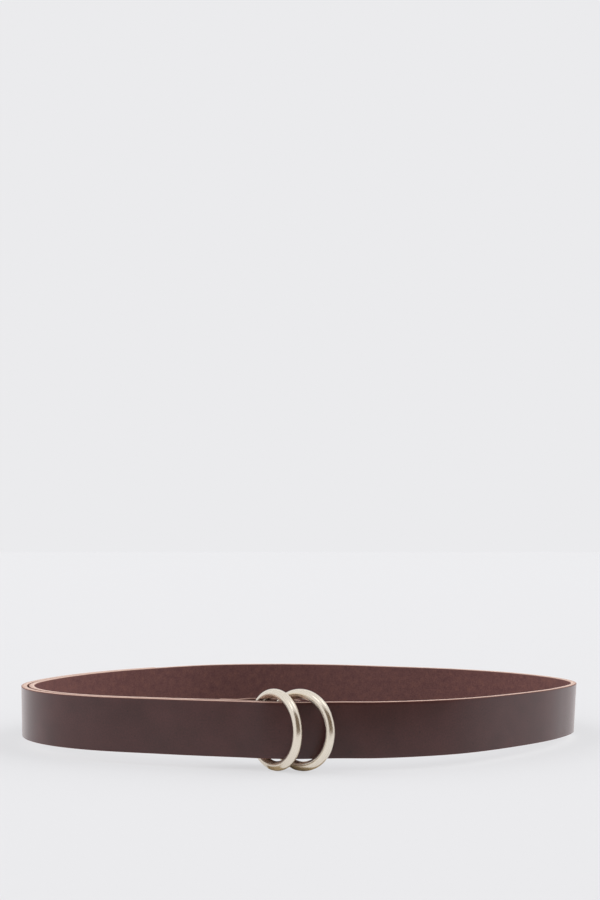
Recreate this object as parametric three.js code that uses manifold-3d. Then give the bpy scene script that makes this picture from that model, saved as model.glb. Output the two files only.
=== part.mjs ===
// A ring belt of one leather strap, fastened and standing on its edge as an open loop.
// Millimetres, +Z up, the fastening faces -Y. The origin is the middle of the footprint.

import * as THREE from 'three';
import { mergeVertices } from 'three/addons/utils/BufferGeometryUtils.js';
import Module from 'manifold-3d';

// Strap
const strapWidth = 25;
const strapThickness = 2.8;
const layerGap = 0.3;
const looseLayerGap = 0.8;
const endFlare = 0.0032;
const flareMiddle = -78;

// Rings: the middle of each, seen from above, and its turn away from the front
const ringInnerDiameter = 27.8;
const ringWire = 4.3;
const ringLean = 1.5;
const rings = [
  { name: 'ring_left', x: -11.1, y: 1.9, yaw: 51 },
  { name: 'ring_right', x: 0.55, y: 1.2, yaw: 37.5 },
];

// The middle of the inner layer, seen from above, from the fold round the loop by the left.
// The single layer on the right and at the back is the same line.
const loopPlan = [
  { at: 'fold', x: -6.1, y: 2.4 },
  { at: 'behind the left ring', x: -15, y: 3.9 },
  { at: 'beside the flap', x: -27, y: 8.2 },
  { at: 'front left', x: -60, y: 16.5 },
  { at: 'front left', x: -96, y: 28.8 },
  { at: 'left turn', x: -118, y: 44 },
  { at: 'left turn', x: -132, y: 64 },
  { at: 'left end', x: -137, y: 88 },
  { at: 'left turn', x: -129, y: 121 },
  { at: 'back left', x: -111, y: 154 },
  { at: 'back left', x: -86, y: 181 },
  { at: 'back', x: -56, y: 203 },
  { at: 'back', x: -19, y: 210.5 },
  { at: 'back', x: 19, y: 205.5 },
  { at: 'back right', x: 54, y: 192 },
  { at: 'back right', x: 90, y: 174.5 },
  { at: 'right turn', x: 118.5, y: 150 },
  { at: 'right turn', x: 138, y: 117 },
  { at: 'right end', x: 141.1, y: 90 },
  { at: 'right turn', x: 127.3, y: 63 },
  { at: 'front right', x: 100, y: 34.5 },
  { at: 'front right', x: 70, y: 12.8 },
  { at: 'front', x: 34, y: 1.3 },
  { at: 'right ring', x: 14, y: 2.0 },
];

// The flap: how far along the inner layer from the fold, and how far apart, middle to middle
const flapPlan = [
  { at: 'free end', along: 32.6, apart: 3.2 },
  { at: 'riveted', along: 28.4, apart: 3.1 },
  { at: 'pressed together', along: 24.9, apart: 3.1 },
  { at: 'behind the left ring', along: 20.4, apart: 8.6 },
  { at: 'behind the right ring', along: 9.2, apart: 10.6 },
];
const bendRadius = 4.6;
// The rings press the flap out by this much at half its height
const flapBow = 3.3;
const flapBowStart = 8;
const flapBowEnd = 36;

// Tail: where it crosses the fold it moves out over the inner layer
const crossingLength = 34;
const tailLength = 292;
const tipLength = 10;
const tipRamp = 30;

// Rivets through the flap and the inner layer
const rivetPlan = [
  { name: 'rivet_upper', height: 6.5 },
  { name: 'rivet_lower', height: -6.5 },
];
const rivet = { along: 28.4, shank: 3, head: 6, headHeight: 0.9, clearance: 0.15, sink: 0.15 };

// Faces: short steps over the fold's length of strap, long ones along the loop
const foldLength = 75;
const foldStations = 42;
const loopStations = 150;
const widthFaces = 8;
const ringSides = 48;
const wireSides = 12;
const rivetSides = 16;

const halfWidth = strapWidth / 2;
const halfThickness = strapThickness / 2;
const layerPitch = strapThickness + layerGap;
const ringRadius = (ringInnerDiameter + ringWire) / 2;

const leather = new THREE.MeshStandardMaterial({ color: 0x3f2c2c, roughness: 0.5, metalness: 0 });
const nickel = new THREE.MeshStandardMaterial({ color: 0xc9bfb0, roughness: 0.3, metalness: 1 });
const steel = new THREE.MeshStandardMaterial({ color: 0x9a938a, roughness: 0.4, metalness: 1 });

const wasm = await Module();
wasm.setup();

// The side of the strap that faces out of the loop
function outwardOf(tangent) {
  return new THREE.Vector3(-tangent.y, tangent.x, 0).normalize();
}

const innerLayer = new THREE.CatmullRomCurve3(
  loopPlan.map((row) => new THREE.Vector3(row.x, row.y, 0)), true, 'centripetal');
innerLayer.arcLengthDivisions = 2000;
const loopLength = innerLayer.getLength();

// A point of the plan at a distance from the fold, moved out of the loop by an offset
function beside(distance, offset) {
  const u = (distance / loopLength) % 1;
  const outward = outwardOf(innerLayer.getTangentAt(u));
  return innerLayer.getPointAt(u).addScaledVector(outward, offset);
}

// How far the strap lies outside the inner layer, once it comes round to the fold again
function layerOffset(distance) {
  const crossing = THREE.MathUtils.smoothstep(distance, loopLength - crossingLength, loopLength);
  const loosening = THREE.MathUtils.smoothstep(distance, loopLength, loopLength * 1.2);
  return crossing * layerPitch + loosening * (looseLayerGap - layerGap);
}

// The middle of the bend, from the flap's side round to the inner layer's
function bendPoints() {
  const tangent = innerLayer.getTangentAt(0);
  const inward = outwardOf(tangent).negate();
  const centre = beside(0, -bendRadius);
  const steps = 6;
  const points = [];
  for (let i = 0; i < steps; i += 1) {
    const angle = Math.PI * i / steps;
    const point = centre.clone().addScaledVector(inward, bendRadius * Math.cos(angle));
    points.push(point.addScaledVector(tangent, -bendRadius * Math.sin(angle)));
  }
  return points;
}

// The middle of the whole strap: the flap, the bend, the inner layer, the loop and the tail
function strapRoute() {
  const points = flapPlan.map((row) => beside(row.along, -row.apart)).concat(bendPoints());
  const step = 6;
  for (let distance = 0; distance <= loopLength + tailLength; distance += step) {
    points.push(beside(distance, layerOffset(distance)));
  }
  const curve = new THREE.CatmullRomCurve3(points, false, 'centripetal');
  curve.arcLengthDivisions = 6000;
  return curve;
}

const route = strapRoute();
const strapLength = route.getLength();

// The flap's bulge along the strap: none at the rivets and at the bend
function bowAlong(distance) {
  const t = (distance - flapBowStart) / (flapBowEnd - flapBowStart);
  return Math.sin(Math.PI * THREE.MathUtils.clamp(t, 0, 1)) ** 2;
}

function stationDistance(station) {
  if (station <= foldStations) {
    return foldLength * station / foldStations;
  }
  return foldLength + (strapLength - foldLength) * (station - foldStations) / loopStations;
}

// The tail's tip is round: its edges end short of its middle
function tipCut(distance, across) {
  const ramp = THREE.MathUtils.smoothstep(distance, strapLength - tipRamp, strapLength);
  return ramp * tipLength * (1 - Math.sqrt(Math.max(0, 1 - across * across)));
}

// A flat strap, bent along its route
function strapGeometry() {
  const stations = foldStations + loopStations;
  const flat = new THREE.BoxGeometry(
    stations, strapThickness, strapWidth, stations, 1, widthFaces);
  const position = flat.attributes.position;
  for (let i = 0; i < position.count; i += 1) {
    const height = position.getZ(i);
    const across = height / halfWidth;
    const square = stationDistance(position.getX(i) + stations / 2);
    const distance = square - tipCut(square, across);
    const u = THREE.MathUtils.clamp(distance / strapLength, 0, 1);
    const outward = outwardOf(route.getTangentAt(u));
    const bow = flapBow * bowAlong(distance) * (1 - across * across);
    const point = route.getPointAt(u).addScaledVector(outward, position.getY(i) + bow);
    const flare = endFlare * across * (point.x - flareMiddle);
    position.setXYZ(i, point.x + flare, point.y, height);
  }
  return flat;
}

// A rivet's profile along its axis, from the grain of the inner layer to above the flap.
// The first head is sunk flush, so that the tail slides over it.
function rivetGeometry(clearance) {
  const shank = rivet.shank / 2 + clearance;
  const head = rivet.head / 2 + clearance;
  const foot = rivet.sink - 2 * clearance;
  const grip = strapThickness + layerPitch + 2 * rivet.clearance;
  const profile = [
    new THREE.Vector2(0, foot),
    new THREE.Vector2(head, foot),
    new THREE.Vector2(head, rivet.headHeight + clearance),
    new THREE.Vector2(shank, rivet.headHeight + clearance),
    new THREE.Vector2(shank, grip),
    new THREE.Vector2(head, grip),
    new THREE.Vector2(head, grip + rivet.headHeight / 3),
    new THREE.Vector2(head * 0.7, grip + rivet.headHeight * 0.85),
    new THREE.Vector2(0, grip + rivet.headHeight),
  ];
  const geometry = new THREE.LatheGeometry(profile, rivetSides);
  geometry.translate(0, -halfThickness, 0);
  const inward = outwardOf(innerLayer.getTangentAt(rivet.along / loopLength)).negate();
  const turn = new THREE.Quaternion().setFromUnitVectors(new THREE.Vector3(0, 1, 0), inward);
  return geometry.applyQuaternion(turn);
}

function solidOf(geometry) {
  const bare = geometry.clone();
  bare.deleteAttribute('normal');
  bare.deleteAttribute('uv');
  const merged = mergeVertices(bare);
  return new wasm.Manifold(new wasm.Mesh({
    numProp: 3,
    vertProperties: new Float32Array(merged.attributes.position.array),
    triVerts: new Uint32Array(merged.index.array),
  }));
}

function geometryOf(solid) {
  const mesh = solid.getMesh();
  const geometry = new THREE.BufferGeometry();
  geometry.setAttribute('position', new THREE.BufferAttribute(mesh.vertProperties, 3));
  geometry.setIndex(new THREE.BufferAttribute(mesh.triVerts, 1));
  return geometry;
}

function rivetPlace(height) {
  const place = beside(rivet.along, 0);
  place.z = height;
  return place;
}

function makeStrap() {
  let solid = solidOf(strapGeometry());
  for (const row of rivetPlan) {
    const place = rivetPlace(row.height);
    const hole = rivetGeometry(rivet.clearance).translate(place.x, place.y, place.z);
    solid = solid.subtract(solidOf(hole));
  }
  const strap = new THREE.Mesh(geometryOf(solid), leather);
  strap.name = 'strap';
  return strap;
}

function makeRivet(row) {
  const mesh = new THREE.Mesh(rivetGeometry(0), steel);
  mesh.name = row.name;
  mesh.position.copy(rivetPlace(row.height));
  return mesh;
}

function makeRing(row) {
  const wire = new THREE.TorusGeometry(ringRadius, ringWire / 2, wireSides, ringSides);
  wire.rotateX(Math.PI / 2);
  wire.rotateZ(-THREE.MathUtils.degToRad(row.yaw));
  wire.rotateX(-THREE.MathUtils.degToRad(ringLean));
  const ring = new THREE.Mesh(wire, nickel);
  ring.name = row.name;
  ring.position.set(row.x, row.y, 0);
  return ring;
}

const belt = new THREE.Group();
belt.add(makeStrap(), ...rings.map(makeRing), ...rivetPlan.map(makeRivet));

// At rest the rings' feet and the back of the strap are down, so the front stands a little higher
const ringFoot = new THREE.Box3().setFromObject(belt.getObjectByName('ring_left'), true);
const strapBox = new THREE.Box3().setFromObject(belt.getObjectByName('strap'), true);
const frontLift = strapBox.min.z - ringFoot.min.z;
belt.rotation.x = -Math.atan2(frontLift, strapBox.max.y - rings[0].y);

const footprint = new THREE.Box3().setFromObject(belt, true);
const middle = footprint.getCenter(new THREE.Vector3());
belt.position.set(-middle.x, -middle.y, -footprint.min.z);

export default belt;
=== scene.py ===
import math

import bpy
from mathutils import Matrix, Vector


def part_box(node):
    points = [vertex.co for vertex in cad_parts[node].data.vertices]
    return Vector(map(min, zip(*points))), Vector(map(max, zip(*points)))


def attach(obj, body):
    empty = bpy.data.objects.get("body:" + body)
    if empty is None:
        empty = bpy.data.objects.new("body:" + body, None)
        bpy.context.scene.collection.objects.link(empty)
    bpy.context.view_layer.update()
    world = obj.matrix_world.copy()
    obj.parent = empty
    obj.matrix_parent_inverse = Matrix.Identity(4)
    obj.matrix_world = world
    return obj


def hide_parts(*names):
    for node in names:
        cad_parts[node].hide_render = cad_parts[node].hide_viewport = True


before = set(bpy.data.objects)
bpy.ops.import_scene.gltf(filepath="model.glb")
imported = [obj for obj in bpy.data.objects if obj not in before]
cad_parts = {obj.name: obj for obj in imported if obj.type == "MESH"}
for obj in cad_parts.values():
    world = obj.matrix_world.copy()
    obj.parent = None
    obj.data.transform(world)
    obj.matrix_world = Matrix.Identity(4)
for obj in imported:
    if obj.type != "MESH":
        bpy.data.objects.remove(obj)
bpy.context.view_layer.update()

MM = 0.001

# Strap
STRAP_WIDTH = 25 * MM
STRAP_THICKNESS = 2.8 * MM
LAYER_GAP = 0.3 * MM
LOOSE_LAYER_GAP = 0.8 * MM
# The loop is wider at its upper edge than at its foot: either edge lies further out or in than half
# the height does, by this share of the way from FLARE_MIDDLE
END_FLARE = 0.0032
FLARE_MIDDLE = -78 * MM
EDGE_BEVEL = 0.45 * MM
STRAP_STEP = 1.0 * MM
STRAP_ROWS = 16

# Rings: the middle of each in mm, seen from above, and its turn away from the front in degrees
RING_RADIUS = 16.05 * MM
RING_WIRE = 4.3 * MM
RING_LEAN = math.radians(1.5)
RING_STEPS = 160
WIRE_SIDES = 40
RINGS = [
    {"node": "ring_left", "x": -11.1, "y": 1.9, "yaw": 51.0},
    {"node": "ring_right", "x": 0.55, "y": 1.2, "yaw": 37.5},
]

# The middle of the inner layer in mm, seen from above, from the fold round the loop by the left
LOOP_PLAN = [
    (-6.1, 2.4), (-15, 3.9), (-27, 8.2), (-60, 16.5), (-96, 28.8), (-118, 44),
    (-132, 64), (-137, 88), (-129, 121), (-111, 154), (-86, 181), (-56, 203),
    (-19, 210.5), (19, 205.5), (54, 192), (90, 174.5), (118.5, 150), (138, 117),
    (141.1, 90), (127.3, 63), (100, 34.5), (70, 12.8), (34, 1.3), (14, 2.0),
]

# The flap in mm: how far along the inner layer from the fold, and how far apart, middle to middle
FLAP_PLAN = [(32.6, 3.2), (28.4, 3.1), (24.9, 3.1), (20.4, 8.6), (9.2, 10.6)]
BEND_RADIUS = 4.6 * MM
BEND_STEPS = 6
# The rings press the flap out by this much at half its height
FLAP_BOW = 3.3 * MM
FLAP_BOW_START = 8 * MM
FLAP_BOW_END = 36 * MM

# Tail: where it crosses the fold it moves out over the inner layer, and lies looser further on
CROSSING_LENGTH = 34 * MM
LOOSENING_SHARE = 0.2
TAIL_LENGTH = 292 * MM
TIP_LENGTH = 10 * MM
TIP_RAMP = 30 * MM
ROUTE_STEP = 6 * MM
LOOP_STEPS = 80
ROUTE_STEPS = 10

# Just past the rings the tail stands a little off the inner layer
PROUD_HEIGHT = 1.2 * MM
PROUD_START = 4 * MM
PROUD_TOP = 26 * MM
PROUD_END = 70 * MM

# Painted shade of the rings and the fold: the cut edge is darker up to the first and plain from the second
# on, in mm from the flap's free end
FOLD_SHADE_START = 60
FOLD_SHADE_END = 95

# Rivets through the flap and the inner layer, with domed heads on the flap, and their heights in mm
RIVET_ALONG = 28.4 * MM
RIVET_SHANK = 1.5 * MM
RIVET_HEAD = 3.0 * MM
RIVET_HEAD_HEIGHT = 0.9 * MM
RIVET_RIM = 0.3 * MM
RIVET_SINK = 0.15 * MM
RIVET_CLEARANCE = 0.15 * MM
RIVET_SIDES = 48
DOME_STEPS = 6
RIVETS = [
    {"node": "rivet_upper", "height": 6.5},
    {"node": "rivet_lower", "height": -6.5},
]

# Finish of the meshes
BEVEL_SEGMENTS = 3
BEVEL_ANGLE = math.radians(50)
SMOOTH_ANGLE = math.radians(40)
MERGE_DISTANCE = 0.01 * MM

HALF_WIDTH = STRAP_WIDTH / 2
HALF_THICKNESS = STRAP_THICKNESS / 2
LAYER_PITCH = STRAP_THICKNESS + LAYER_GAP


def smooth_step(value, low, high):
    """From 0 at the low value to 1 at the high one, level at both"""
    t = min(1.0, max(0.0, (value - low) / (high - low)))
    return t * t * (3 - 2 * t)


def spline(points, closed, steps):
    """A smooth line through the points, as many close ones: a centripetal Catmull-Rom spline"""
    count = len(points)
    line = []
    for i in range(count if closed else count - 1):
        p1 = points[i]
        p2 = points[(i + 1) % count]
        p0 = points[i - 1] if closed or i > 0 else 2 * p1 - p2
        p3 = points[(i + 2) % count] if closed or i + 2 < count else 2 * p2 - p1
        d0 = (p1 - p0).length ** 0.5
        d1 = (p2 - p1).length ** 0.5
        d2 = (p3 - p2).length ** 0.5
        m1 = ((p1 - p0) / d0 - (p2 - p0) / (d0 + d1) + (p2 - p1) / d1) * d1
        m2 = ((p2 - p1) / d1 - (p3 - p1) / (d1 + d2) + (p3 - p2) / d2) * d1
        for k in range(steps):
            t = k / steps
            line.append(
                (2 * t**3 - 3 * t**2 + 1) * p1
                + (t**3 - 2 * t**2 + t) * m1
                + (3 * t**2 - 2 * t**3) * p2
                + (t**3 - t**2) * m2
            )
    line.append(points[0].copy() if closed else points[-1].copy())
    return line


def lengths_along(line):
    """How far along the line each of its points is"""
    total = [0.0]
    for a, b in zip(line, line[1:]):
        total.append(total[-1] + (b - a).length)
    return total


class Route:
    """A line that gives its point, its way and its outward side at a distance"""

    def __init__(self, points, closed, steps):
        self.line = spline(points, closed, steps)
        self.along = lengths_along(self.line)
        self.length = self.along[-1]

    def place(self, distance):
        low, high = 0, len(self.along) - 2
        while low < high:
            mid = (low + high + 1) // 2
            if self.along[mid] <= distance:
                low = mid
            else:
                high = mid - 1
        a, b = self.line[low], self.line[low + 1]
        share = (distance - self.along[low]) / (self.along[low + 1] - self.along[low])
        tangent = (b - a).normalized()
        return a.lerp(b, share), tangent, Vector((-tangent.y, tangent.x, 0))


LOOP = Route([Vector((x * MM, y * MM, 0)) for x, y in LOOP_PLAN], True, LOOP_STEPS)


def beside(distance, offset):
    """A point of the plan at a distance from the fold, moved out of the loop by an offset"""
    point, tangent, outward = LOOP.place(distance % LOOP.length)
    return point + outward * offset


def layer_offset(distance):
    """How far the strap lies outside the inner layer, once it comes round to the fold again"""
    crossing = smooth_step(distance, LOOP.length - CROSSING_LENGTH, LOOP.length)
    loosening = smooth_step(distance, LOOP.length, LOOP.length * (1 + LOOSENING_SHARE))
    past = distance - LOOP.length
    proud = smooth_step(past, PROUD_START, PROUD_TOP) * (1 - smooth_step(past, PROUD_TOP, PROUD_END))
    return crossing * LAYER_PITCH + loosening * (LOOSE_LAYER_GAP - LAYER_GAP) + proud * PROUD_HEIGHT


def strap_route():
    """The middle of the whole strap: the flap, the bend, the inner layer, the loop and the tail"""
    points = [beside(along * MM, -apart * MM) for along, apart in FLAP_PLAN]
    point, tangent, outward = LOOP.place(0)
    centre = beside(0, -BEND_RADIUS)
    for i in range(BEND_STEPS):
        angle = math.pi * i / BEND_STEPS
        points.append(
            centre - outward * BEND_RADIUS * math.cos(angle) - tangent * BEND_RADIUS * math.sin(angle)
        )
    distance = 0.0
    while distance <= LOOP.length + TAIL_LENGTH:
        points.append(beside(distance, layer_offset(distance)))
        distance += ROUTE_STEP
    return Route(points, False, ROUTE_STEPS)


ROUTE = strap_route()


def belt_place():
    """The belt rests on the rings' feet and the back of the strap, so its front is raised"""
    ring = RINGS[0]
    lift = RING_RADIUS * math.cos(RING_LEAN) + RING_WIRE / 2 - HALF_WIDTH
    back = max(point.y for point in ROUTE.line) + HALF_THICKNESS
    turn = Matrix.Rotation(-math.atan2(lift, back - ring["y"] * MM), 4, "X")
    low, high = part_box(ring["node"])
    middle = (Vector(low) + Vector(high)) / 2
    return Matrix.Translation(middle - turn @ Vector((ring["x"] * MM, ring["y"] * MM, 0))) @ turn


BELT_PLACE = belt_place()


def deselect():
    """The frame's nodes come in selected, and an operator acts on all that is selected"""
    bpy.ops.object.select_all(action="DESELECT")


def settle(piece, name, node):
    """Puts a piece's place in its mesh, and has it stand for the frame's node"""
    piece.data.transform(BELT_PLACE)
    piece.name = name
    piece.data.name = name
    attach(piece, "root")
    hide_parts(node)


def colour(code):
    """An sRGB hex colour as the linear values that a shader takes"""
    parts = [int(code[i:i + 2], 16) / 255 for i in (1, 3, 5)]
    return [p / 12.92 if p <= 0.04045 else ((p + 0.055) / 1.055) ** 2.4 for p in parts] + [1.0]


def add_node(tree, kind, inputs=None, ramp=(), **settings):
    """A node with its settings, each input a value or a socket to link, and a ramp's steps"""
    made = tree.nodes.new(kind)
    for name, value in settings.items():
        setattr(made, name, value)
    for name, value in (inputs or {}).items():
        if isinstance(value, bpy.types.NodeSocket):
            tree.links.new(value, made.inputs[name])
        else:
            made.inputs[name].default_value = value
    while ramp and len(made.color_ramp.elements) < len(ramp):
        made.color_ramp.elements.new(1.0)
    for i, (position, code) in enumerate(ramp):
        made.color_ramp.elements[i].position = position
        made.color_ramp.elements[i].color = colour(code)
    return made


def new_material(name):
    material = bpy.data.materials.new(name)
    material.use_nodes = True
    material.node_tree.nodes.clear()
    return material, material.node_tree


def finish_material(tree, shader):
    add_node(tree, "ShaderNodeOutputMaterial", {"Surface": shader.outputs[0]})


def grain_leather():
    """Vegetable-tanned cowhide, drum dyed and waxed: a tight smooth grain with a satin sheen"""
    material, tree = new_material("vegetable_tanned_grain")
    place = add_node(tree, "ShaderNodeUVMap", uv_map="strap_mm").outputs["UV"]
    # Dye takes unevenly in patches of about 14 mm
    patches = add_node(tree, "ShaderNodeTexNoise", {"Vector": place, "Scale": 1 / 14, "Detail": 3.0})
    dye = add_node(tree, "ShaderNodeValToRGB", {"Fac": patches.outputs["Fac"]},
                   ramp=[(0.3, "#341817"), (0.7, "#3E1F1E")])
    # The grain's own mottle, about 0.8 mm
    mottle = add_node(tree, "ShaderNodeTexNoise",
                      {"Vector": place, "Scale": 1 / 0.8, "Detail": 2.0, "Roughness": 0.6})
    light = add_node(tree, "ShaderNodeMapRange", {
        "Value": mottle.outputs["Fac"], "From Min": 0.3, "From Max": 0.7, "To Min": 0.82, "To Max": 1.18})
    mottled = add_node(tree, "ShaderNodeVectorMath",
                       {0: dye.outputs["Color"], 1: light.outputs["Result"]}, operation="MULTIPLY")
    # Open hair pores, one every 5 mm or so
    pores = add_node(tree, "ShaderNodeTexVoronoi", {"Vector": place, "Scale": 1 / 5})
    pore = add_node(tree, "ShaderNodeMapRange", {
        "Value": pores.outputs["Distance"], "From Min": 0.04, "From Max": 0.11,
        "To Min": 0.62, "To Max": 1.0})
    tinted = add_node(tree, "ShaderNodeVectorMath",
                      {0: mottled.outputs["Vector"], 1: pore.outputs["Result"]}, operation="MULTIPLY")
    # The fine pebble of the grain, about 0.45 mm
    pebble = add_node(tree, "ShaderNodeTexVoronoi", {"Vector": place, "Scale": 1 / 0.45})
    bump = add_node(tree, "ShaderNodeBump", {
        "Height": pebble.outputs["Distance"], "Strength": 0.15, "Distance": 0.03 * MM})
    gloss = add_node(tree, "ShaderNodeMapRange", {
        "Value": mottle.outputs["Fac"], "From Min": 0.3, "From Max": 0.7, "To Min": 0.33, "To Max": 0.42})
    shader = add_node(tree, "ShaderNodeBsdfPrincipled", {
        "Base Color": tinted.outputs["Vector"], "Roughness": gloss.outputs["Result"], "IOR": 1.34,
        "Normal": bump.outputs["Normal"], "Coat Weight": 1.0, "Coat Roughness": 0.22, "Coat IOR": 1.33,
        "Sheen Weight": 0.32, "Sheen Roughness": 0.3, "Sheen Tint": colour("#F5DED8"),
    })
    finish_material(tree, shader)
    return material


def flesh_leather():
    """The hide's flesh side, shaved and left bare: a short matt nap, blotched by the dye"""
    material, tree = new_material("napped_flesh_side")
    place = add_node(tree, "ShaderNodeUVMap", uv_map="strap_mm").outputs["UV"]
    # Blotches about 4 mm across, from purplish to reddish brown
    blotches = add_node(tree, "ShaderNodeTexNoise",
                        {"Vector": place, "Scale": 1 / 4, "Detail": 5.0, "Roughness": 0.7})
    dye = add_node(tree, "ShaderNodeValToRGB", {"Fac": blotches.outputs["Fac"]},
                   ramp=[(0.3, "#4B3131"), (0.5, "#543836"), (0.7, "#5D3E39")])
    # The nap's loose fibres lie in tufts of about 0.9 mm
    nap = add_node(tree, "ShaderNodeTexNoise", {"Vector": place, "Scale": 1 / 0.9, "Detail": 3.0})
    light = add_node(tree, "ShaderNodeMapRange", {
        "Value": nap.outputs["Fac"], "From Min": 0.25, "From Max": 0.75, "To Min": 0.8, "To Max": 1.2})
    tinted = add_node(tree, "ShaderNodeVectorMath",
                      {0: dye.outputs["Color"], 1: light.outputs["Result"]}, operation="MULTIPLY")
    bump = add_node(tree, "ShaderNodeBump", {
        "Height": nap.outputs["Fac"], "Strength": 0.5, "Distance": 0.1 * MM})
    shader = add_node(tree, "ShaderNodeBsdfPrincipled", {
        "Base Color": tinted.outputs["Vector"], "Roughness": 0.95, "IOR": 1.4,
        "Specular IOR Level": 0.3, "Normal": bump.outputs["Normal"],
        "Sheen Weight": 0.06, "Sheen Roughness": 0.6, "Sheen Tint": colour("#C08A7A"),
    })
    finish_material(tree, shader)
    return material


def edge_leather():
    """The bare cut edge: undyed fibres in the middle of the hide, dyed at the grain's corner, and a paler
    band by the flesh corner that is partly a painted highlight
    """
    material, tree = new_material("bare_cut_edge")
    place = add_node(tree, "ShaderNodeUVMap", uv_map="edge_mm").outputs["UV"]
    split = add_node(tree, "ShaderNodeSeparateXYZ", {"Vector": place})
    depth = add_node(tree, "ShaderNodeMapRange", {
        "Value": split.outputs["Y"], "From Min": -HALF_THICKNESS / MM, "From Max": HALF_THICKNESS / MM})
    # Across the edge: the paler band just in from the flesh corner is partly the undyed core and partly a
    # painted highlight
    edge_dye_and_highlight = add_node(tree, "ShaderNodeValToRGB", {"Fac": depth.outputs["Result"]}, ramp=[
        (0.0, "#8A675D"), (0.1, "#BFA89B"), (0.24, "#BAA296"), (0.6, "#B1988C"),
        (0.84, "#A98D80"), (0.94, "#875F52"), (1.0, "#4A2C2A")])
    # Fibres lie along the strap: about 4 mm long and 0.3 mm thick
    stretch = add_node(tree, "ShaderNodeMapping", {"Vector": place, "Scale": (1 / 4, 1 / 0.3, 1)})
    fibres = add_node(tree, "ShaderNodeTexNoise",
                      {"Vector": stretch.outputs["Vector"], "Scale": 1.0, "Detail": 4.0})
    light = add_node(tree, "ShaderNodeMapRange", {
        "Value": fibres.outputs["Fac"], "From Min": 0.3, "From Max": 0.7, "To Min": 0.82, "To Max": 1.1})
    fibrous = add_node(tree, "ShaderNodeVectorMath",
                       {0: edge_dye_and_highlight.outputs["Color"], 1: light.outputs["Result"]}, operation="MULTIPLY")
    # Painted shade: the cut edge by the fold is darker, where the rings and the layers shade it, and plain
    # away from the rings
    fold_shade_fade = add_node(tree, "ShaderNodeMapRange", {
        "Value": split.outputs["X"], "From Min": FOLD_SHADE_START, "From Max": FOLD_SHADE_END})
    fold_shade = add_node(tree, "ShaderNodeValToRGB", {"Fac": fold_shade_fade.outputs["Result"]},
                     ramp=[(0.0, "#AE9C95"), (1.0, "#FFFFFF")])
    tinted = add_node(tree, "ShaderNodeVectorMath",
                      {0: fibrous.outputs["Vector"], 1: fold_shade.outputs["Color"]}, operation="MULTIPLY")
    bump = add_node(tree, "ShaderNodeBump", {
        "Height": fibres.outputs["Fac"], "Strength": 0.6, "Distance": 0.08 * MM})
    shader = add_node(tree, "ShaderNodeBsdfPrincipled", {
        "Base Color": tinted.outputs["Vector"], "Roughness": 0.8, "IOR": 1.4,
        "Normal": bump.outputs["Normal"],
    })
    finish_material(tree, shader)
    return material


def satin_nickel():
    """Steel wire plated with nickel and brushed along its length to a satin"""
    material, tree = new_material("satin_nickel_plate")
    place = add_node(tree, "ShaderNodeUVMap", uv_map="wire_mm").outputs["UV"]
    # Brush lines along the wire: about 6 mm long and 0.15 mm wide
    stretch = add_node(tree, "ShaderNodeMapping", {"Vector": place, "Scale": (1 / 6, 1 / 0.15, 1)})
    lines = add_node(tree, "ShaderNodeTexNoise",
                     {"Vector": stretch.outputs["Vector"], "Scale": 1.0, "Detail": 3.0})
    satin = add_node(tree, "ShaderNodeMapRange", {
        "Value": lines.outputs["Fac"], "From Min": 0.3, "From Max": 0.7, "To Min": 0.2, "To Max": 0.32})
    bump = add_node(tree, "ShaderNodeBump", {
        "Height": lines.outputs["Fac"], "Strength": 0.2, "Distance": 0.02 * MM})
    shader = add_node(tree, "ShaderNodeBsdfPrincipled", {
        "Base Color": colour("#F0E6D6"), "Metallic": 1.0, "Roughness": satin.outputs["Result"],
        "Normal": bump.outputs["Normal"],
    })
    finish_material(tree, shader)
    return material


def tumbled_steel():
    """Small steel rivets, tumbled and plated: a soft dull polish, a little mottled"""
    material, tree = new_material("tumbled_steel_rivet")
    place = add_node(tree, "ShaderNodeTexCoord").outputs["Object"]
    # Tumbling marks about 0.6 mm across
    marks = add_node(tree, "ShaderNodeTexNoise", {"Vector": place, "Scale": 1 / (0.6 * MM), "Detail": 2.0})
    dull = add_node(tree, "ShaderNodeMapRange", {
        "Value": marks.outputs["Fac"], "From Min": 0.3, "From Max": 0.7, "To Min": 0.3, "To Max": 0.45})
    bump = add_node(tree, "ShaderNodeBump", {
        "Height": marks.outputs["Fac"], "Strength": 0.2, "Distance": 0.03 * MM})
    shader = add_node(tree, "ShaderNodeBsdfPrincipled", {
        "Base Color": colour("#C8BFB2"), "Metallic": 1.0, "Roughness": dull.outputs["Result"],
        "Normal": bump.outputs["Normal"],
    })
    finish_material(tree, shader)
    return material


def bow_at(x, z):
    """How far the rings press the flap out, from 0 to 1"""
    t = min(1.0, max(0.0, (x - FLAP_BOW_START) / (FLAP_BOW_END - FLAP_BOW_START)))
    return math.sin(math.pi * t) ** 2 * (1 - min(1.0, (z / HALF_WIDTH) ** 2))


def chart_strap(mesh, name, axis):
    """A map in millimetres: along the flat strap, and across it or through it"""
    chart = mesh.uv_layers.new(name=name)
    for corner in mesh.loops:
        spot = mesh.vertices[corner.vertex_index].co
        chart.data[corner.index].uv = (spot.x / MM, spot[axis] / MM)


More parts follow.
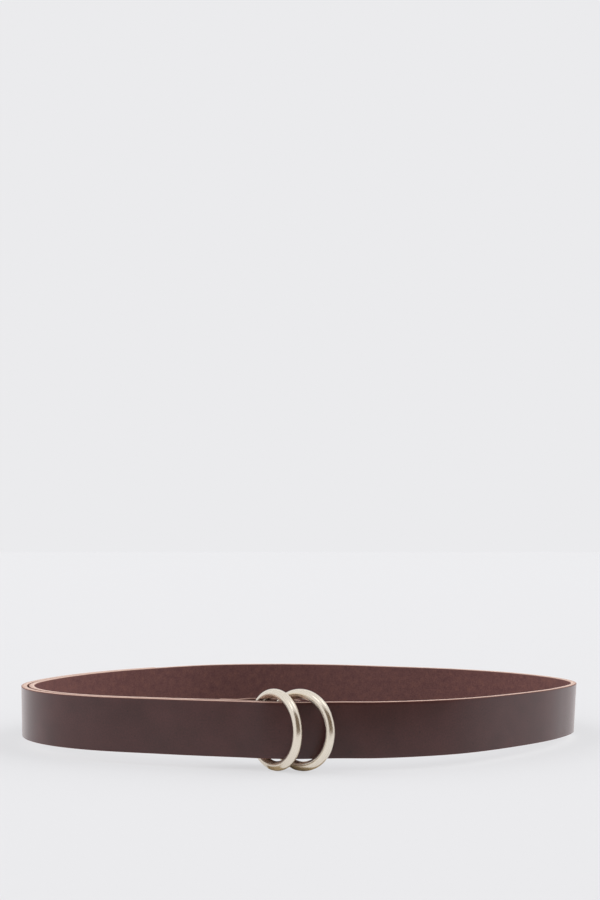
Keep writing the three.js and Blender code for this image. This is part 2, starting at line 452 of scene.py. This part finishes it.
def flat_strap():
    """The strap's middle surface laid flat, with a round tip"""
    deselect()
    bpy.ops.mesh.primitive_grid_add(
        x_subdivisions=round(ROUTE.length / STRAP_STEP), y_subdivisions=STRAP_ROWS, size=1,
        location=(ROUTE.length / 2, 0, 0), rotation=(-math.pi / 2, 0, 0))
    strap = bpy.context.object
    strap.scale = (ROUTE.length, STRAP_WIDTH, 1)
    bpy.ops.object.transform_apply(location=True, rotation=True, scale=True)
    strap.data.uv_layers.remove(strap.data.uv_layers[0])
    for vertex in strap.data.vertices:
        across = min(1.0, abs(vertex.co.z) / HALF_WIDTH)
        ramp = smooth_step(vertex.co.x, ROUTE.length - TIP_RAMP, ROUTE.length)
        vertex.co.x -= ramp * TIP_LENGTH * (1 - math.sqrt(max(0.0, 1 - across * across)))
    return strap


def bend_curve():
    """The strap's route as a curve"""
    curve = bpy.data.curves.new("strap_route", "CURVE")
    curve.dimensions = "3D"
    curve.twist_mode = "Z_UP"
    line = curve.splines.new("POLY")
    line.points.add(len(ROUTE.line) - 1)
    for point, spot in zip(line.points, ROUTE.line):
        point.co = (*spot, 1)
    made = bpy.data.objects.new("strap_route", curve)
    bpy.context.collection.objects.link(made)
    return made


def apply_modifier(piece, kind, **settings):
    """Adds a modifier with its settings and applies it at once"""
    modifier = piece.modifiers.new(kind.lower(), kind)
    for name, value in settings.items():
        setattr(modifier, name, value)
    bpy.context.view_layer.objects.active = piece
    bpy.ops.object.modifier_apply(modifier=modifier.name)


def make_strap():
    """Cut flat, given its thickness and bevelled edges, pressed out by the rings and bent to its route"""
    strap = flat_strap()
    for material in (grain_leather(), flesh_leather(), edge_leather()):
        strap.data.materials.append(material)
    apply_modifier(strap, "SOLIDIFY", thickness=STRAP_THICKNESS, offset=0.0,
                   material_offset=1, material_offset_rim=2)
    apply_modifier(strap, "BEVEL", width=EDGE_BEVEL, segments=BEVEL_SEGMENTS, limit_method="ANGLE",
                   angle_limit=BEVEL_ANGLE, material=2)
    chart_strap(strap.data, "strap_mm", 2)
    chart_strap(strap.data, "edge_mm", 1)
    bowed = strap.vertex_groups.new(name="bow")
    for vertex in strap.data.vertices:
        weight = bow_at(vertex.co.x, vertex.co.z)
        if weight > 0:
            bowed.add([vertex.index], weight, "REPLACE")
    apply_modifier(strap, "DISPLACE", direction="Y", mid_level=0.0, strength=FLAP_BOW,
                   vertex_group="bow")
    strap.vertex_groups.clear()
    route = bend_curve()
    apply_modifier(strap, "CURVE", object=route, deform_axis="POS_X")
    bpy.data.objects.remove(route)
    for vertex in strap.data.vertices:
        vertex.co.x += END_FLARE * vertex.co.z / HALF_WIDTH * (vertex.co.x - FLARE_MIDDLE)
    for row in RIVETS:
        punch_hole(strap, row)
    deselect()
    strap.select_set(True)
    bpy.context.view_layer.objects.active = strap
    bpy.ops.object.shade_smooth_by_angle(angle=SMOOTH_ANGLE)
    settle(strap, "leather_strap", "strap")


def near(angle):
    """The same turn within half a turn of nothing"""
    return (angle + math.pi) % math.tau - math.pi


def ring_angles(spot):
    """The turn round the ring and the turn round its wire"""
    return math.atan2(spot.y, spot.x), math.atan2(spot.z, math.hypot(spot.x, spot.y) - RING_RADIUS)


def chart_ring(mesh):
    """A map in millimetres along the wire and round it, with no face across its seam"""
    chart = mesh.uv_layers.new(name="wire_mm")
    for face in mesh.polygons:
        middle = ring_angles(face.center)
        for corner in face.loop_indices:
            angles = ring_angles(mesh.vertices[mesh.loops[corner].vertex_index].co)
            turn, roll = (m + near(a - m) for a, m in zip(angles, middle))
            chart.data[corner].uv = (turn * RING_RADIUS / MM, roll * RING_WIRE / 2 / MM)


def make_ring(row, material):
    """A round wire bent to a ring: its section spun once round"""
    deselect()
    bpy.ops.mesh.primitive_circle_add(
        vertices=WIRE_SIDES, radius=RING_WIRE / 2, location=(RING_RADIUS, 0, 0),
        rotation=(math.pi / 2, 0, 0))
    ring = bpy.context.object
    bpy.ops.object.transform_apply(location=True, rotation=True, scale=True)
    bpy.ops.object.mode_set(mode="EDIT")
    bpy.ops.mesh.select_all(action="SELECT")
    bpy.ops.mesh.spin(steps=RING_STEPS, angle=math.tau, center=(0, 0, 0), axis=(0, 0, 1))
    bpy.ops.mesh.select_all(action="SELECT")
    bpy.ops.mesh.remove_doubles(threshold=MERGE_DISTANCE)
    bpy.ops.mesh.normals_make_consistent(inside=False)
    bpy.ops.object.mode_set(mode="OBJECT")
    bpy.ops.object.shade_smooth()
    chart_ring(ring.data)
    stand = Matrix.Rotation(math.pi / 2, 4, "X")
    yaw = Matrix.Rotation(-math.radians(row["yaw"]), 4, "Z")
    lean = Matrix.Rotation(-RING_LEAN, 4, "X")
    ring.data.transform(Matrix.Translation((row["x"] * MM, row["y"] * MM, 0)) @ lean @ yaw @ stand)
    ring.data.materials.append(material)
    settle(ring, row["node"] + "_wire", row["node"])


def rivet_place(row):
    """A rivet's foot is at the grain of the inner layer, and its axis points into the loop"""
    point, tangent, outward = LOOP.place(RIVET_ALONG)
    spot = point + outward * HALF_THICKNESS + Vector((0, 0, row["height"] * MM))
    return Matrix.Translation(spot) @ (-outward).to_track_quat("Z", "Y").to_matrix().to_4x4()


def turned_rivet(row, clearance):
    """A foot, a shank and a domed head, each extruded from the last one's face"""
    foot = RIVET_SINK - 2 * clearance
    neck = RIVET_HEAD_HEIGHT + clearance
    grip = STRAP_THICKNESS + LAYER_PITCH + 2 * RIVET_CLEARANCE
    head, shank = RIVET_HEAD + clearance, RIVET_SHANK + clearance
    steps = [(neck, head), (neck, shank), (grip, shank), (grip, head), (grip + RIVET_RIM, head)]
    for i in range(1, DOME_STEPS):
        angle = math.pi / 2 * i / DOME_STEPS
        rise = (RIVET_HEAD_HEIGHT - RIVET_RIM) * math.sin(angle)
        steps.append((grip + RIVET_RIM + rise, head * math.cos(angle)))
    deselect()
    bpy.ops.mesh.primitive_circle_add(
        vertices=RIVET_SIDES, radius=head, fill_type="NGON", location=(0, 0, foot))
    rivet = bpy.context.object
    bpy.ops.object.transform_apply(location=True, rotation=True, scale=True)
    bpy.ops.object.mode_set(mode="EDIT")
    bpy.ops.mesh.select_all(action="SELECT")
    height, radius = foot, head
    for next_height, next_radius in steps:
        bpy.ops.mesh.extrude_region_move(
            TRANSFORM_OT_translate={"value": (0, 0, next_height - height)})
        size = next_radius / radius
        bpy.ops.transform.resize(value=(size, size, 1), center_override=(0, 0, next_height))
        height, radius = next_height, next_radius
    bpy.ops.mesh.select_all(action="SELECT")
    bpy.ops.mesh.normals_make_consistent(inside=False)
    bpy.ops.object.mode_set(mode="OBJECT")
    rivet.data.transform(rivet_place(row))
    return rivet


def punch_hole(strap, row):
    """The hole is the rivet's own shape, a little larger all round"""
    punch = turned_rivet(row, RIVET_CLEARANCE)
    apply_modifier(strap, "BOOLEAN", object=punch, operation="DIFFERENCE", solver="EXACT")
    bpy.data.objects.remove(punch)


def make_rivet(row, material):
    rivet = turned_rivet(row, 0)
    rivet.data.materials.append(material)
    bpy.ops.object.shade_smooth_by_angle(angle=SMOOTH_ANGLE)
    settle(rivet, row["node"] + "_domed", row["node"])


# Camera: in the belt's own frame it looks level along +Y. Its focal length is in pixels of a frame
# 900 pixels high, and the horizon's row in that frame gives its shift.
CAMERA_DISTANCE = 540 * MM
CAMERA_HEIGHT = 73.1 * MM
CAMERA_PIXELS = 1216
FRAME_HEIGHT = 900
HORIZON_ROW = 565.65
SENSOR = 36
CLIP_START = 10 * MM


def make_camera():
    deselect()
    bpy.ops.object.camera_add()
    camera = bpy.context.object
    camera.name = "camera"
    camera.data.sensor_width = SENSOR
    camera.data.sensor_fit = "AUTO"
    camera.data.lens = CAMERA_PIXELS * SENSOR / FRAME_HEIGHT
    camera.data.shift_y = (HORIZON_ROW - FRAME_HEIGHT / 2) / FRAME_HEIGHT
    camera.data.clip_start = CLIP_START
    level = Matrix.Rotation(math.pi / 2, 4, "X")
    spot = Matrix.Translation((0, -CAMERA_DISTANCE, CAMERA_HEIGHT))
    camera.matrix_world = BELT_PLACE @ spot @ level
    bpy.context.scene.camera = camera


# Studio: metres, and azimuths in degrees to the right of the front, seen from the belt
PAPER = "#EBEBED"
PAPER_FACE = "#F6F6F8"
FLOOR_SIZE = 12
# The share of the floor that glows, and how brightly: the more glows, the fainter the shadow is
FLOOR_GLOW = 0.84
GLOW_STRENGTH = 0.84
# A card stands where it has a height, and otherwise lies from near to far
CARDS = [
    {"name": "standing_card", "felt": "#6A5C4C",
     "azimuth": 17, "near": 1.1, "far": 1.1, "width": 2.0, "height": 1.2},
    {"name": "lying_card", "felt": "#6A5C4C",
     "azimuth": 17, "near": 0.28, "far": 1.1, "width": 1.6, "height": 0.0},
    # The last card is painted shade: a small sheet under the rings' feet that shows only in their shine,
    # in place of the shade beneath them
    {"name": "ring_foot_shade_card", "felt": "#A8997F",
     "azimuth": -3, "near": 0.097, "far": 0.105, "width": 0.04, "height": 0.0},
]
CARD_LIFT = 0.2 * MM
# Softboxes show in the leather and the metal, and the fills at the sides light them without a glint
LIGHTS = [
    {"name": "left_softbox", "azimuth": -38, "elevation": 51, "spread": 18, "strength": 0.1,
     "shine": True},
    {"name": "right_softbox", "azimuth": 103, "elevation": 60, "spread": 20, "strength": 0.12,
     "shine": True},
    {"name": "left_fill", "azimuth": -80, "elevation": 25, "spread": 70, "strength": 3.0,
     "shine": False},
    {"name": "right_fill", "azimuth": 95, "elevation": 25, "spread": 70, "strength": 3.6,
     "shine": False},
]


def make_floor():
    """Seamless paper, lit from below as well, so that only a soft faint shadow shows on it"""
    deselect()
    bpy.ops.mesh.primitive_plane_add(size=1, location=(0, 0, 0))
    floor = bpy.context.object
    floor.name = "paper_floor"
    floor.scale = (FLOOR_SIZE, FLOOR_SIZE, 1)
    bpy.ops.object.transform_apply(location=True, rotation=True, scale=True)
    material, tree = new_material("seamless_paper")
    glow = add_node(tree, "ShaderNodeEmission", {"Color": colour(PAPER), "Strength": GLOW_STRENGTH})
    paper = add_node(tree, "ShaderNodeBsdfDiffuse", {"Color": colour(PAPER_FACE)})
    mixed = add_node(tree, "ShaderNodeMixShader",
                     {"Fac": FLOOR_GLOW, 1: paper.outputs[0], 2: glow.outputs[0]})
    finish_material(tree, mixed)
    floor.data.materials.append(material)


def toward(azimuth, elevation):
    """The direction of a lamp or card, seen from the belt"""
    turn, rise = math.radians(azimuth), math.radians(elevation)
    return Vector((math.sin(turn) * math.cos(rise), -math.cos(turn) * math.cos(rise), math.sin(rise)))


def felt_of(row):
    """Plain brown felt: no gloss, so that the metal shows it as an even warm tone"""
    material, tree = new_material(row["name"] + "_felt")
    felt = add_node(tree, "ShaderNodeBsdfDiffuse", {"Color": colour(row["felt"])})
    finish_material(tree, felt)
    return material


def make_card(row):
    """A darker card in front, out of the camera's sight, which shows in the belt's shine"""
    deselect()
    standing = row["height"] > 0
    tilt = math.pi / 2 if standing else 0
    depth = row["height"] if standing else row["far"] - row["near"]
    spot = toward(row["azimuth"], 0) * (row["near"] + row["far"]) / 2
    spot.z = CARD_LIFT + row["height"] / 2
    bpy.ops.mesh.primitive_plane_add(
        size=1, location=spot, rotation=(tilt, 0, math.radians(row["azimuth"])))
    card = bpy.context.object
    card.name = row["name"]
    card.scale = (row["width"], depth, 1)
    bpy.ops.object.transform_apply(location=True, rotation=True, scale=True)
    card.data.materials.append(felt_of(row))
    card.visible_camera = False
    card.visible_diffuse = standing
    card.visible_shadow = False


def make_light(row):
    """A far broad lamp, so that the whole floor is lit alike"""
    deselect()
    direction = toward(row["azimuth"], row["elevation"])
    bpy.ops.object.light_add(type="SUN", location=direction)
    lamp = bpy.context.object
    lamp.name = row["name"]
    lamp.data.energy = row["strength"]
    lamp.data.angle = math.radians(row["spread"])
    lamp.visible_glossy = row["shine"]
    lamp.rotation_euler = (-direction).to_track_quat("-Z", "Y").to_euler()


def make_room():
    """An even pale room, which is also the photograph's plain background"""
    world = bpy.data.worlds.new("soft_white_room")
    bpy.context.scene.world = world
    world.use_nodes = True
    background = world.node_tree.nodes["Background"]
    background.inputs["Color"].default_value = colour(PAPER)
    background.inputs["Strength"].default_value = 1.0


make_camera()
make_strap()
nickel = satin_nickel()
for ring_row in RINGS:
    make_ring(ring_row, nickel)
steel = tumbled_steel()
for rivet_row in RIVETS:
    make_rivet(rivet_row, steel)
make_floor()
for card_row in CARDS:
    make_card(card_row)
make_room()
for light_row in LIGHTS:
    make_light(light_row)

bpy.context.scene.view_settings.view_transform = "Standard"
